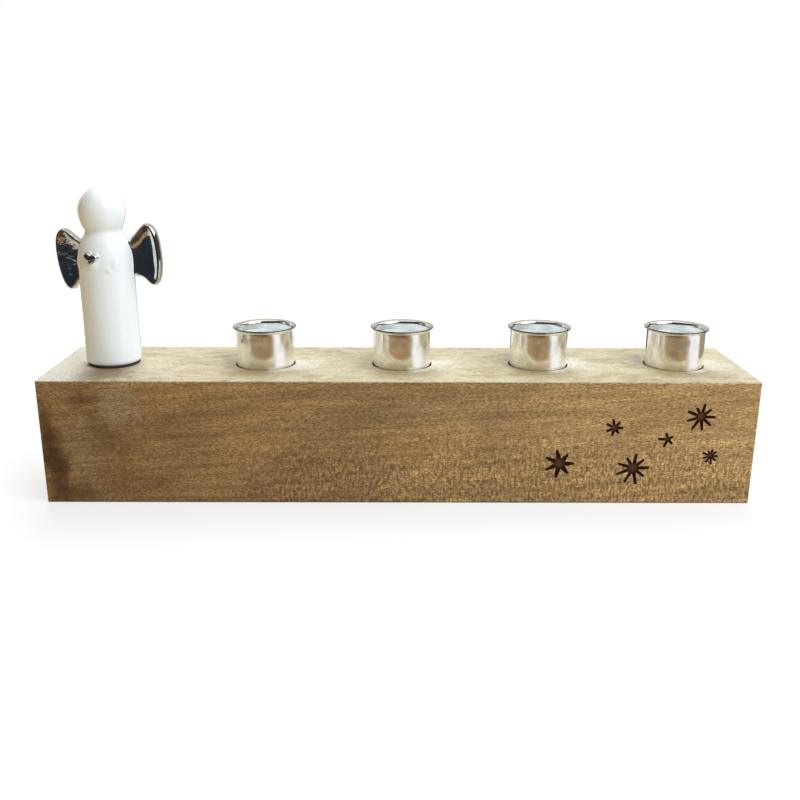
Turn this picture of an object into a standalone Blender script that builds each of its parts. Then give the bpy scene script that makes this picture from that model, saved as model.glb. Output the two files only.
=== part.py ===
# Angel candle holder: a long hardwood block with four drawn metal candle cups
# and a small glazed porcelain angel standing on a felt pad at its left end.
# Metres, +Z up. The origin is the centre of the block's underside, the front faces -Y.

import math

import bmesh
import bpy
from mathutils import Matrix, Vector

# Wooden block
BLOCK_LENGTH = 0.300
BLOCK_DEPTH = 0.060
BLOCK_HEIGHT = 0.054
BLOCK_EDGE_RADIUS = 0.0006
BLOCK_EDGE_SEGMENTS = 2

# Candle cups
CUP_COUNT = 4
CUP_PITCH = 0.0601
LAST_CUP_TO_BLOCK_END = 0.0285
CUP_RADIUS = 0.0125
CUP_WALL = 0.0005
CUP_HEIGHT = 0.025
CUP_ABOVE_WOOD = 0.017
CUP_LIP_REACH = 0.0013
CUP_LIP_HEIGHT = 0.0020
CUP_CORNER_RADIUS = 0.0020
CUP_STEPS = 40
CUP_CORNER_POINTS = 2
CUP_LIP_POINTS = 3

# Bores that hold the cups
BORE_CLEARANCE = 0.0005
BORE_MOUTH_EASE = 0.0003

# Engraved stars: centre from the block's right end and above the middle of the
# front face, the direction of the first ray clockwise from upright, and the
# length of each ray in turn
STAR_DEPTH = 0.0008
STAR_TIP_WIDTH = 0.0010
STARS = (
    {"from_end": 0.0820, "rise": -0.0089, "first": -13.0, "core": 0.0025,
     "rays": (0.0064, 0.0052, 0.0061, 0.0058, 0.0066, 0.0066, 0.0065)},
    {"from_end": 0.0598, "rise": 0.0071, "first": -12.0, "core": 0.0015,
     "rays": (0.0040, 0.0033, 0.0036, 0.0032, 0.0037, 0.0038, 0.0040)},
    {"from_end": 0.0507, "rise": -0.0109, "first": 8.0, "core": 0.0023,
     "rays": (0.0066, 0.0059, 0.0069, 0.0060, 0.0075, 0.0072, 0.0075, 0.0070, 0.0057)},
    {"from_end": 0.0372, "rise": 0.0020, "first": -14.0, "core": 0.0011,
     "rays": (0.0031, 0.0026, 0.0029, 0.0037, 0.0040)},
    {"from_end": 0.0240, "rise": 0.0121, "first": 12.0, "core": 0.0021,
     "rays": (0.0058, 0.0051, 0.0060, 0.0060, 0.0061, 0.0066, 0.0060, 0.0063, 0.0045)},
    {"from_end": 0.0184, "rise": -0.0053, "first": 12.0, "core": 0.0013,
     "rays": (0.0031, 0.0031, 0.0032, 0.0032, 0.0039, 0.0034, 0.0034, 0.0037, 0.0026)},
)

# Seats: the narrow gap left under each piece that stands on another
SEAT_GAP = 0.0003

# Felt pad under the figure
PAD_THICKNESS = 0.0004
PAD_INSET = 0.0008
PAD_STEPS = 40

# Porcelain figure: place, turned body and head. The shoulder line is where the
# straight body ends, and what lies higher is placed from it.
FIGURE_FROM_BLOCK_END = 0.0246
FIGURE_TURN = math.radians(-11.0)
FIGURE_STEPS = 40
FOOT_RADIUS = 0.0118
FOOT_EDGE_RADIUS = 0.0018
FOOT_TAPER_HEIGHT = 0.020
BODY_RADIUS = 0.0115
SHOULDER_HEIGHT = 0.0440
SHOULDER_RISE = 0.0135
SHOULDER_INSET = 0.0081
HEAD_RADIUS = 0.00966
HEAD_ABOVE_SHOULDER = 0.0209
HEAD_LOWER_RISE = 0.0120
NECK_BLEND = 0.0030
FOOT_EDGE_POINTS = 4
NECK_POINTS = 14
HEAD_POINTS = 8

# Wings: one outline, mirrored for the other side. Each point is the distance
# out from the side of the body and the height above the shoulder line. The rim is
# drawn in rings from the edge: how far in each one lies and how far it rises, up
# to the crest and then down into the dish.
WING_OUTLINE = (
    (-0.0035, 0.0076), (0.0019, 0.0097), (0.0056, 0.0145), (0.0096, 0.0146),
    (0.0122, 0.0106), (0.0128, 0.0028), (0.0123, -0.0054), (0.0104, -0.0115),
    (0.0066, -0.0131), (0.0032, -0.0072), (-0.0035, -0.0088),
)
WING_EDGE_THICKNESS = 0.0016
WING_RIM_RINGS = ((0.0014, 0.0014), (0.0018, 0.0009), (0.0006, -0.0013))
WING_BEHIND_AXIS = 0.0032
WING_MIDDLE = 0.0017
WING_PAIR_TILT = math.radians(-4.5)
WING_LEVELS = 2

# Heart held on the breast, placed from the shoulder line
HEART_WIDTH = 0.0063
HEART_TALL = 0.0057
HEART_RISE = 0.0019
HEART_AROUND = math.radians(-3.0)
HEART_LEAN = math.radians(13.0)
HEART_PROUD = 0.0019
HEART_PUFF = 0.0012
HEART_ROOT = 0.0015
HEART_DOME_ANGLE = math.radians(65.0)
HEART_DOME_STEPS = 3
HEART_POINTS = 24

# Arms and joined hands in low relief, placed from the shoulder line
ARM_RADIUS = 0.0026
ARM_END_REACH = 0.0012
ARM_PROUD = 0.0005
ARM_STEPS = 16
SLEEVE_TOP_RISE = 0.0035
ELBOW_RISE = -0.0045
WRIST_RISE = -0.0010
SLEEVE_TOP_ANGLE = math.radians(52.0)
ELBOW_ANGLE = math.radians(42.0)
WRIST_ANGLE = math.radians(22.0)
HANDS_WIDTH = 0.0085
HANDS_TALL = 0.0120
HANDS_PROUD = 0.0009
HANDS_RISE = 0.0004
HANDS_STEPS = 20

MERGE_DISTANCE = 0.00001
SHARP_ANGLE = math.radians(35.0)

# Sizes that follow from the ones above
HALF_LENGTH = BLOCK_LENGTH / 2.0
HALF_DEPTH = BLOCK_DEPTH / 2.0
HALF_HEIGHT = BLOCK_HEIGHT / 2.0
BORE_RADIUS = CUP_RADIUS + BORE_CLEARANCE
BORE_DEPTH = CUP_HEIGHT - CUP_ABOVE_WOOD + SEAT_GAP
CUP_FOOT_Z = BLOCK_HEIGHT - BORE_DEPTH + SEAT_GAP
PAD_Z = BLOCK_HEIGHT + SEAT_GAP
FIGURE_Z = PAD_Z + PAD_THICKNESS + SEAT_GAP
FIGURE_X = FIGURE_FROM_BLOCK_END - HALF_LENGTH
HEAD_HEIGHT = SHOULDER_HEIGHT + HEAD_ABOVE_SHOULDER

WOOD = {"color": (0.30, 0.19, 0.085, 1.0), "roughness": 0.6, "metallic": 0.0}
SILVER_PLATE = {"color": (0.80, 0.79, 0.76, 1.0), "roughness": 0.15, "metallic": 1.0}
PORCELAIN = {"color": (0.86, 0.87, 0.85, 1.0), "roughness": 0.12, "metallic": 0.0}
SILVER_LUSTRE = {"color": (0.45, 0.45, 0.44, 1.0), "roughness": 0.10, "metallic": 1.0}
DARK_FELT = {"color": (0.03, 0.018, 0.010, 1.0), "roughness": 0.95, "metallic": 0.0}


def clear_scene():
    for obj in list(bpy.data.objects):
        bpy.data.objects.remove(obj, do_unlink=True)


def make_collection(name):
    collection = bpy.data.collections.new(name)
    bpy.context.scene.collection.children.link(collection)
    return collection


def make_material(name, look):
    material = bpy.data.materials.new(name)
    material.use_nodes = True
    shader = material.node_tree.nodes["Principled BSDF"]
    shader.inputs["Base Color"].default_value = look["color"]
    shader.inputs["Roughness"].default_value = look["roughness"]
    shader.inputs["Metallic"].default_value = look["metallic"]
    material.diffuse_color = look["color"]
    return material


def add_object(name, mesh, collection, material=None):
    obj = bpy.data.objects.new(name, mesh)
    collection.objects.link(obj)
    if material is not None:
        mesh.materials.append(material)
    return obj


def mesh_from_bmesh(name, shape):
    mesh = bpy.data.meshes.new(name)
    shape.to_mesh(mesh)
    shape.free()
    return mesh


def evaluated_mesh(obj):
    graph = bpy.context.evaluated_depsgraph_get()
    return bpy.data.meshes.new_from_object(obj.evaluated_get(graph))


def apply_modifiers(obj):
    mesh = evaluated_mesh(obj)
    obj.modifiers.clear()
    obj.data = mesh


def curve_to_mesh_object(obj, collection):
    """The curve as a closed mesh object in the same place; the curve is removed."""
    mesh = evaluated_mesh(obj)
    shape = bmesh.new()
    shape.from_mesh(mesh)
    bmesh.ops.remove_doubles(shape, verts=shape.verts, dist=MERGE_DISTANCE)
    shape.to_mesh(mesh)
    shape.free()
    name = obj.name
    place = obj.matrix_world.copy()
    bpy.data.objects.remove(obj, do_unlink=True)
    result = add_object(name, mesh, collection)
    result.matrix_world = place
    return result


def mark_as_cutter(obj):
    obj.hide_render = True
    obj.display_type = "WIRE"


def add_boolean(obj, other, operation):
    modifier = obj.modifiers.new(other.name, "BOOLEAN")
    modifier.object = other
    modifier.operation = operation
    modifier.solver = "EXACT"
    modifier.material_mode = "TRANSFER"


def shade_round(obj):
    obj.data.shade_smooth()
    obj.data.set_sharp_from_angle(angle=SHARP_ANGLE)


def arc_points(center_r, center_z, radius, start, end, count):
    """Points of a circular arc in the profile plane, both ends included."""
    points = []
    for step in range(count + 1):
        angle = start + (end - start) * step / count
        points.append((center_r + radius * math.cos(angle), center_z + radius * math.sin(angle)))
    return points


def turned_object(name, profile, steps, collection, material=None):
    """A profile of (radius, height) points at +X, running down its outer side, turned once."""
    mesh = bpy.data.meshes.new(name)
    shape = bmesh.new()
    verts = [shape.verts.new((radius, 0.0, height)) for radius, height in profile]
    for first, second in zip(verts, verts[1:]):
        shape.edges.new((first, second))
    shape.to_mesh(mesh)
    shape.free()
    obj = add_object(name, mesh, collection, material)
    screw = obj.modifiers.new("turn", "SCREW")
    screw.steps = steps
    screw.render_steps = steps
    screw.use_merge_vertices = True
    screw.merge_threshold = MERGE_DISTANCE
    screw.use_smooth_shade = True
    return obj


def cup_positions():
    last = HALF_LENGTH - LAST_CUP_TO_BLOCK_END
    return [last - CUP_PITCH * (CUP_COUNT - 1 - index) for index in range(CUP_COUNT)]


def cup_profile():
    """The section of a drawn cup: floor, rounded corner, straight wall and flared lip."""
    inner_radius = CUP_RADIUS - CUP_WALL
    inner_corner = CUP_CORNER_RADIUS - CUP_WALL
    lip_start = CUP_HEIGHT - CUP_LIP_HEIGHT
    half_wall = CUP_WALL / 2.0
    profile = [(0.0, CUP_WALL)]
    profile += arc_points(inner_radius - inner_corner, CUP_WALL + inner_corner, inner_corner,
                          -math.pi / 2.0, 0.0, CUP_CORNER_POINTS)
    inner_flare = []
    outer_flare = []
    for step in range(CUP_LIP_POINTS):
        share = step / CUP_LIP_POINTS
        reach = CUP_LIP_REACH * (1.0 - math.cos(share * math.pi / 2.0))
        height = lip_start + (CUP_LIP_HEIGHT - half_wall) * math.sin(share * math.pi / 2.0)
        inner_flare.append((inner_radius + reach, height))
        outer_flare.append((CUP_RADIUS + reach, height - reach / 2.0))
    profile += inner_flare
    rim_radius = CUP_RADIUS + CUP_LIP_REACH - half_wall
    profile += arc_points(rim_radius, CUP_HEIGHT - half_wall, half_wall,
                          math.pi / 2.0, -math.pi / 2.0, CUP_LIP_POINTS)
    profile += reversed(outer_flare)
    profile += arc_points(CUP_RADIUS - CUP_CORNER_RADIUS, CUP_CORNER_RADIUS, CUP_CORNER_RADIUS,
                          0.0, -math.pi / 2.0, CUP_CORNER_POINTS)
    profile.append((0.0, 0.0))
    return profile


def build_cups(collection, material):
    for number, x in enumerate(cup_positions(), start=1):
        cup = turned_object(f"candle_cup_{number}", cup_profile(), CUP_STEPS, collection, material)
        cup.location = (x, 0.0, CUP_FOOT_Z)
        apply_modifiers(cup)
        shade_round(cup)


def build_bore_cutters(collection):
    """Flat-bottomed bores with an eased mouth, reaching a little above the wood."""
    above = BORE_MOUTH_EASE * 2.0
    profile = [
        (0.0, above),
        (BORE_RADIUS + BORE_MOUTH_EASE + above, above),
        (BORE_RADIUS, -BORE_MOUTH_EASE),
        (BORE_RADIUS, -BORE_DEPTH),
        (0.0, -BORE_DEPTH),
    ]
    cutters = []
    for number, x in enumerate(cup_positions(), start=1):
        cutter = turned_object(f"bore_cutter_{number}", profile, CUP_STEPS, collection)
        cutter.location = (x, 0.0, BLOCK_HEIGHT)
        mark_as_cutter(cutter)
        cutters.append(cutter)
    return cutters


def star_outline(star):
    """A star of straight rays with blunt tips that meet in a round core."""
    rays = star["rays"]
    step = math.tau / len(rays)
    half_tip = STAR_TIP_WIDTH / 2.0
    points = []
    for index, length in enumerate(rays):
        angle = math.radians(star["first"]) + index * step
        along = Vector((math.sin(angle), math.cos(angle)))
        across = Vector((math.cos(angle), -math.sin(angle)))
        points.append(along * length - across * half_tip)
        points.append(along * length + across * half_tip)
        valley = angle + step / 2.0
        points.append(Vector((math.sin(valley), math.cos(valley))) * star["core"])
    return points


def build_star_cutters(collection):
    cutters = []
    for number, star in enumerate(STARS, start=1):
        curve = bpy.data.curves.new(f"star_cutter_{number}", "CURVE")
        curve.dimensions = "2D"
        curve.fill_mode = "BOTH"
        curve.extrude = STAR_DEPTH
        points = star_outline(star)
        spline = curve.splines.new("POLY")
        spline.points.add(len(points) - 1)
        for target, point in zip(spline.points, points):
            target.co = (point.x, point.y, 0.0, 1.0)
        spline.use_cyclic_u = True
        obj = add_object(curve.name, curve, collection)
        obj.location = (HALF_LENGTH - star["from_end"], -HALF_DEPTH, HALF_HEIGHT + star["rise"])
        obj.rotation_euler = (math.pi / 2.0, 0.0, 0.0)
        bpy.context.view_layer.update()
        cutter = curve_to_mesh_object(obj, collection)
        mark_as_cutter(cutter)
        cutters.append(cutter)
    return cutters


def build_block(collection, cutter_collection, material):
    shape = bmesh.new()
    bmesh.ops.create_cube(shape, size=1.0)
    bmesh.ops.scale(shape, vec=(BLOCK_LENGTH, BLOCK_DEPTH, BLOCK_HEIGHT), verts=shape.verts)
    bmesh.ops.translate(shape, vec=(0.0, 0.0, HALF_HEIGHT), verts=shape.verts)
    block = add_object("wood_block", mesh_from_bmesh("wood_block", shape), collection, material)
    bevel = block.modifiers.new("eased_edges", "BEVEL")
    bevel.width = BLOCK_EDGE_RADIUS
    bevel.segments = BLOCK_EDGE_SEGMENTS
    bevel.limit_method = "ANGLE"
    for cutter in build_bore_cutters(cutter_collection) + build_star_cutters(cutter_collection):
        add_boolean(block, cutter, "DIFFERENCE")
    return block


def build_pad(collection, material):
    shape = bmesh.new()
    radius = FOOT_RADIUS - PAD_INSET
    bmesh.ops.create_cone(shape, cap_ends=True, segments=PAD_STEPS, radius1=radius,
                          radius2=radius, depth=PAD_THICKNESS)
    bmesh.ops.translate(shape, vec=(0.0, 0.0, PAD_THICKNESS / 2.0), verts=shape.verts)
    pad = add_object("felt_pad", mesh_from_bmesh("felt_pad", shape), collection, material)
    pad.location = (FIGURE_X, 0.0, PAD_Z)
    shade_round(pad)


def smooth_larger(first, second, width):
    """The larger of two values, eased where they are closer than the width."""
    overlap = max(width - abs(first - second), 0.0) / width
    return max(first, second) + overlap * overlap * width / 4.0


def half_width(radius, rise, offset):
    """How wide an ellipse is at a height away from its middle."""
    share = min(abs(offset) / rise, 1.0)
    return radius * math.sqrt(1.0 - share * share)


def neck_radius(height):
    """Shoulders below and head above, run into each other at the neck."""
    shoulder = (BODY_RADIUS - SHOULDER_INSET
                + half_width(SHOULDER_INSET, SHOULDER_RISE, height - SHOULDER_HEIGHT))
    head = half_width(HEAD_RADIUS, HEAD_LOWER_RISE, HEAD_HEIGHT - height)
    return smooth_larger(shoulder, head, NECK_BLEND)


def figure_profile():
    """The figure's silhouette from the crown of the head down to the foot."""
    profile = arc_points(0.0, HEAD_HEIGHT, HEAD_RADIUS, math.pi / 2.0, 0.0, HEAD_POINTS)
    profile[0] = (0.0, HEAD_HEIGHT + HEAD_RADIUS)
    for step in range(1, NECK_POINTS):
        height = HEAD_HEIGHT + (SHOULDER_HEIGHT - HEAD_HEIGHT) * step / NECK_POINTS
        profile.append((neck_radius(height), height))
    profile.append((BODY_RADIUS, SHOULDER_HEIGHT))
    profile.append((BODY_RADIUS, FOOT_TAPER_HEIGHT))
    profile += arc_points(FOOT_RADIUS - FOOT_EDGE_RADIUS, FOOT_EDGE_RADIUS, FOOT_EDGE_RADIUS,
                          0.0, -math.pi / 2.0, FOOT_EDGE_POINTS)
    profile.append((0.0, 0.0))
    return profile


def build_wing(side, collection, material):
    """One wing from a coarse cage: a broad rounded rim round a dish. side is 1 or -1."""
    shape = bmesh.new()
    verts = [shape.verts.new((BODY_RADIUS + reach, -WING_EDGE_THICKNESS / 2.0, rise - WING_MIDDLE))
             for reach, rise in WING_OUTLINE]
    front = shape.faces.new(verts)
    extruded = bmesh.ops.extrude_face_region(shape, geom=[front])
    moved = [item for item in extruded["geom"] if isinstance(item, bmesh.types.BMVert)]
    bmesh.ops.translate(shape, vec=(0.0, WING_EDGE_THICKNESS, 0.0), verts=moved)
    bmesh.ops.recalc_face_normals(shape, faces=shape.faces)
    broad = [face for face in shape.faces if len(face.verts) == len(WING_OUTLINE)]
    for width, rise in WING_RIM_RINGS:
        bmesh.ops.inset_individual(shape, faces=broad, thickness=width, depth=rise,
                                   use_even_offset=True)
    if side < 0:
        bmesh.ops.scale(shape, vec=(-1.0, 1.0, 1.0), verts=shape.verts)
        bmesh.ops.reverse_faces(shape, faces=shape.faces)
    name = "wing_right" if side > 0 else "wing_left"
    wing = add_object(name, mesh_from_bmesh(name, shape), collection, material)
    soften = wing.modifiers.new("soften", "SUBSURF")
    soften.levels = WING_LEVELS
    soften.render_levels = WING_LEVELS
    wing.location = (0.0, WING_BEHIND_AXIS, SHOULDER_HEIGHT + WING_MIDDLE)
    wing.rotation_euler = (0.0, WING_PAIR_TILT, 0.0)
    mark_as_cutter(wing)
    return wing


def on_breast(angle, rise, depth):
    """A point at an angle from straight ahead, below the body's surface by the depth."""
    radius = BODY_RADIUS - depth
    return Vector((radius * math.sin(angle), -radius * math.cos(angle), SHOULDER_HEIGHT + rise))


def heart_outline():
    """A heart drawn by a sum of cosines, centred, with the given width and height."""
    raw = []
    for step in range(HEART_POINTS):
        angle = math.tau * step / HEART_POINTS
        across = math.sin(angle) ** 3
        up = (13.0 * math.cos(angle) - 5.0 * math.cos(2.0 * angle)
              - 2.0 * math.cos(3.0 * angle) - math.cos(4.0 * angle))
        raw.append((across, up))
    low = min(up for across, up in raw)
    high = max(up for across, up in raw)
    return [(across * HEART_WIDTH / 2.0, ((up - low) / (high - low) - 0.5) * HEART_TALL)
            for across, up in raw]


def build_heart(collection, material):
    """A puffed heart: its outline raised from within the breast, then domed in steps."""
    shape = bmesh.new()
    verts = [shape.verts.new((across, 0.0, up)) for across, up in heart_outline()]
    face = shape.faces.new(verts)
    wall = HEART_ROOT + HEART_PROUD - HEART_PUFF
    size = 1.0
    depth = 0.0
    for step in range(HEART_DOME_STEPS + 1):
        angle = HEART_DOME_ANGLE * step / HEART_DOME_STEPS
        next_size = math.cos(angle)
        next_depth = wall + HEART_PUFF * math.sin(angle) / math.sin(HEART_DOME_ANGLE)
        raised = bmesh.ops.extrude_face_region(shape, geom=[face])
        moved = [item for item in raised["geom"] if isinstance(item, bmesh.types.BMVert)]
        if step > 0:
            bmesh.ops.delete(shape, geom=[face], context="FACES_ONLY")
        face = [item for item in raised["geom"] if isinstance(item, bmesh.types.BMFace)][0]
        ratio = next_size / size
        bmesh.ops.scale(shape, vec=(ratio, 1.0, ratio), verts=moved)
        bmesh.ops.translate(shape, vec=(0.0, depth - next_depth, 0.0), verts=moved)
        size = next_size
        depth = next_depth
    bmesh.ops.recalc_face_normals(shape, faces=shape.faces)
    heart = add_object("heart", mesh_from_bmesh("heart", shape), collection, material)
    heart.location = on_breast(HEART_AROUND, HEART_RISE, HEART_ROOT)
    heart.rotation_euler = (0.0, HEART_LEAN, HEART_AROUND)
    mark_as_cutter(heart)
    return heart


def build_limb(name, start, end, collection, material):
    """A length of sleeve as a long rounded form between two points."""
    shape = bmesh.new()
    bmesh.ops.create_uvsphere(shape, u_segments=ARM_STEPS, v_segments=ARM_STEPS // 2, radius=1.0)
    along = end - start
    half_long = along.length / 2.0 + ARM_END_REACH
    bmesh.ops.scale(shape, vec=(ARM_RADIUS, ARM_RADIUS, half_long), verts=shape.verts)
    bmesh.ops.rotate(shape, matrix=along.to_track_quat("Z", "Y").to_matrix(), verts=shape.verts)
    limb = add_object(name, mesh_from_bmesh(name, shape), collection, material)
    limb.location = (start + end) / 2.0
    mark_as_cutter(limb)
    return limb


def build_arm(side, collection, material):
    """A sleeve in low relief: down from the shoulder to the elbow, then in to the hands."""
    depth = ARM_RADIUS - ARM_PROUD
    shoulder = on_breast(side * SLEEVE_TOP_ANGLE, SLEEVE_TOP_RISE, depth)
    elbow = on_breast(side * ELBOW_ANGLE, ELBOW_RISE, depth)
    wrist = on_breast(side * WRIST_ANGLE, WRIST_RISE, depth)
    hand = "right" if side > 0 else "left"
    return [
        build_limb(f"upper_arm_{hand}", shoulder, elbow, collection, material),
        build_limb(f"forearm_{hand}", elbow, wrist, collection, material),
    ]


def build_hands(collection, material):
    """The joined hands as one soft mound under and round the heart."""
    shape = bmesh.new()
    bmesh.ops.create_uvsphere(shape, u_segments=HANDS_STEPS, v_segments=HANDS_STEPS // 2, radius=1.0)
    half_step = Matrix.Rotation(math.pi / HANDS_STEPS, 3, "Z")
    bmesh.ops.rotate(shape, matrix=half_step, verts=shape.verts)
    half_deep = HANDS_WIDTH / 2.0
    bmesh.ops.scale(shape, vec=(HANDS_WIDTH / 2.0, half_deep, HANDS_TALL / 2.0), verts=shape.verts)
    hands = add_object("hands", mesh_from_bmesh("hands", shape), collection, material)
    hands.location = on_breast(HEART_AROUND, HANDS_RISE, half_deep - HANDS_PROUD)
    mark_as_cutter(hands)
    return hands


def build_figure(collection, cutter_collection, porcelain, lustre):
    """Body, arms, hands, wings and heart joined into the one casting that they are."""
    figure = turned_object("angel_figure", figure_profile(), FIGURE_STEPS, collection, porcelain)
    added = build_arm(1, cutter_collection, porcelain) + build_arm(-1, cutter_collection, porcelain)
    added += [
        build_hands(cutter_collection, porcelain),
        build_heart(cutter_collection, lustre),
        build_wing(1, cutter_collection, lustre),
        build_wing(-1, cutter_collection, lustre),
    ]
    bpy.context.view_layer.update()
    for piece in added:
        add_boolean(figure, piece, "UNION")
    apply_modifiers(figure)
    figure.location = (FIGURE_X, 0.0, FIGURE_Z)
    figure.rotation_euler = (0.0, 0.0, FIGURE_TURN)
    shade_round(figure)


def build():
    clear_scene()
    parts = make_collection("angel_candle_holder")
    cutters = make_collection("cutters")
    build_block(parts, cutters, make_material("wood", WOOD))
    build_cups(parts, make_material("silver_plate", SILVER_PLATE))
    build_pad(parts, make_material("dark_felt", DARK_FELT))
    build_figure(parts, cutters, make_material("porcelain", PORCELAIN),
                 make_material("silver_lustre", SILVER_LUSTRE))
    bpy.context.view_layer.update()


build()
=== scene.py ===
"""Looks of an angel candle holder: hardwood block, four plated candle cups, felt pad and glazed angel.

Metres, +Z up, the engraved front faces -Y. Places and outer sizes come from the
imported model, and the fine forms that the finish needs are modelled here.
"""

import math

import bmesh
import bpy
from mathutils import Matrix, Vector


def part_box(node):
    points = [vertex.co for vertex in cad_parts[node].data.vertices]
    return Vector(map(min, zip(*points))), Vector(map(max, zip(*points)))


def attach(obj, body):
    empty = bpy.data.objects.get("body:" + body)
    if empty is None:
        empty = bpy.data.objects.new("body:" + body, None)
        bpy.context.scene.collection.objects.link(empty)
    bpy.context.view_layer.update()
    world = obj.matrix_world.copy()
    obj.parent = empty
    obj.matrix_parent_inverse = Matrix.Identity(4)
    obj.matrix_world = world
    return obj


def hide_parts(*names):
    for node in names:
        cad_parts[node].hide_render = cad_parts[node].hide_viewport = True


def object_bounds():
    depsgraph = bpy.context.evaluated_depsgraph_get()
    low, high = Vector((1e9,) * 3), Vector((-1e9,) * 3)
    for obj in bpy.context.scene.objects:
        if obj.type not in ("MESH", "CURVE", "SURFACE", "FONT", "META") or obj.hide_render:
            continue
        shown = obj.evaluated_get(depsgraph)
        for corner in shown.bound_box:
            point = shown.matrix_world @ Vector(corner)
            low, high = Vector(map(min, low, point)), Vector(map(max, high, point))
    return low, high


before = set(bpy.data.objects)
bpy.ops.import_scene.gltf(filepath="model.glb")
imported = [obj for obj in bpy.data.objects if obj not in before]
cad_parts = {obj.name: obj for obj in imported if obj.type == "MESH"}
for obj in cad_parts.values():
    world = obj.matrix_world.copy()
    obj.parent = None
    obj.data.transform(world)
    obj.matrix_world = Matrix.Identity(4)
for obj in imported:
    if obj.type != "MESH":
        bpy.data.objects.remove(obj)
cad_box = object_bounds()

BODY = "root"
CUP_NODES = [f"candle_cup_{number}" for number in range(1, 5)]

# Camera: place, tilt, turn and lens, as the photograph was taken
CAMERA_PLACE = (-0.00211, -0.39629, 0.15803)
CAMERA_TILT_DOWN = math.radians(16.99)
CAMERA_TURN = math.radians(-0.38)
CAMERA_ROLL = math.radians(0.25)
CAMERA_LENS_MM = 41.64
CAMERA_SENSOR_MM = 36.0
CAMERA_NEAR = 0.01
CAMERA_FAR = 20.0

# Candle cups, drawn from thin sheet
CUP_WALL = 0.0005
CUP_LIP_REACH = 0.0013
CUP_LIP_HEIGHT = 0.0020
CUP_CORNER_RADIUS = 0.0020
CUP_SPIN_STEPS = 144
CUP_LIP_POINTS = 8
CUP_CORNER_POINTS = 8
CUP_WALL_POINTS = 10
CUP_OUT_OF_ROUND = 0.00006
CUP_SATIN_BELOW_LIP = 0.0011

# Porcelain figure, as it was modelled for casting
FIGURE_PLACE = Vector((-0.1254, 0.0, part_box("angel_figure")[0].z))
FIGURE_TURN = math.radians(-11.0)
FOOT_RADIUS = 0.0118
FOOT_EDGE_RADIUS = 0.0018
FOOT_TAPER_HEIGHT = 0.020
BODY_RADIUS = 0.0115
SHOULDER_HEIGHT = 0.0440
SHOULDER_RISE = 0.0135
SHOULDER_INSET = 0.0081
HEAD_RADIUS = 0.00966
HEAD_HEIGHT = SHOULDER_HEIGHT + 0.0209
HEAD_LOWER_RISE = 0.0120
NECK_BLEND = 0.0030
FIGURE_SPIN_STEPS = 160
NECK_POINTS = 40
HEAD_POINTS = 28
FOOT_EDGE_POINTS = 8
BODY_POINTS = 12

# Wings: distance out from the side of the body and height above the shoulder line.
# The rim is drawn in rings from the edge: how far in each one lies and how far it
# rises, up to the crest and then down into the dish.
WING_OUTLINE = (
    (-0.0035, 0.0076), (0.0019, 0.0097), (0.0056, 0.0145), (0.0096, 0.0146),
    (0.0122, 0.0106), (0.0128, 0.0028), (0.0123, -0.0054), (0.0104, -0.0115),
    (0.0066, -0.0131), (0.0032, -0.0072), (-0.0035, -0.0088),
)
WING_EDGE_THICKNESS = 0.0016
WING_RIM_RINGS = ((0.0006, 0.0011), (0.0004, 0.0004), (0.0023, -0.0012))
WING_BEHIND_AXIS = 0.0032
WING_MIDDLE = 0.0017
WING_PAIR_TILT = math.radians(-4.5)
WING_LEVELS = 5

# Heart, sleeves and joined hands on the breast
HEART_WIDTH = 0.0063
HEART_TALL = 0.0057
HEART_RISE = 0.0019
HEART_AROUND = math.radians(-3.0)
HEART_LEAN = math.radians(13.0)
HEART_PROUD = 0.0019
HEART_PUFF = 0.0012
HEART_ROOT = 0.0015
HEART_DOME_ANGLE = math.radians(65.0)
HEART_DOME_STEPS = 8
HEART_POINTS = 64
ARM_RADIUS = 0.0026
ARM_END_REACH = 0.0012
ARM_PROUD = 0.0005
ARM_SEGMENTS = 48
SLEEVE_TOP_RISE = 0.0035
ELBOW_RISE = -0.0045
WRIST_RISE = -0.0010
SLEEVE_TOP_ANGLE = math.radians(52.0)
ELBOW_ANGLE = math.radians(42.0)
WRIST_ANGLE = math.radians(22.0)
HANDS_WIDTH = 0.0085
HANDS_TALL = 0.0120
HANDS_PROUD = 0.0009
HANDS_RISE = 0.0004

# Skin of the casting
FIGURE_VOXEL = 0.00032
FIGURE_SMOOTH_ROUNDS = 12
LUSTRE_ATTRIBUTE = "lustre_distance"
LUSTRE_WING_MARGIN = 0.00035
LUSTRE_WING_FRONT = -0.0012
LUSTRE_WING_REACH = 0.020
LUSTRE_HEART_MARGIN = 0.0001
GLAZE_WHITE = (0.875, 0.895, 0.895, 1.0)
GLAZE_POOLED = (0.855, 0.878, 0.880, 1.0)
LUSTRE_BRIGHT = (0.80, 0.79, 0.77, 1.0)
LUSTRE_TARNISHED = (0.62, 0.59, 0.55, 1.0)
MERGE_DISTANCE = 0.000005

# Felt pad
PAD_SEGMENTS = 128
PAD_ROUNDING = 0.00025
PAD_RAGGED_SHARE = 0.0015

# Figure in the wood of the front face: x, z, half width, half height, turn, and
# how far the wood turns pale (above 0) or deep brown (below 0) there
FRONT_PATCHES = (
    (-0.1335, 0.0200, 0.0080, 0.0260, 12.0, 0.40),
    (-0.1165, 0.0430, 0.0100, 0.0110, -20.0, 0.70),
    (-0.1455, 0.0190, 0.0060, 0.0270, 10.0, -0.95),
    (-0.1305, 0.0455, 0.0075, 0.0055, 25.0, -0.55),
    (-0.1235, 0.0330, 0.0045, 0.0110, 35.0, -0.35),
    (-0.1340, 0.0050, 0.0080, 0.0060, -35.0, -0.45),
    (-0.0980, 0.0150, 0.0250, 0.0090, 5.0, -0.15),
    (-0.0300, 0.0200, 0.0600, 0.0080, 6.0, -0.15),
    (0.0200, 0.0420, 0.0500, 0.0060, 7.0, 0.15),
)

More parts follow.
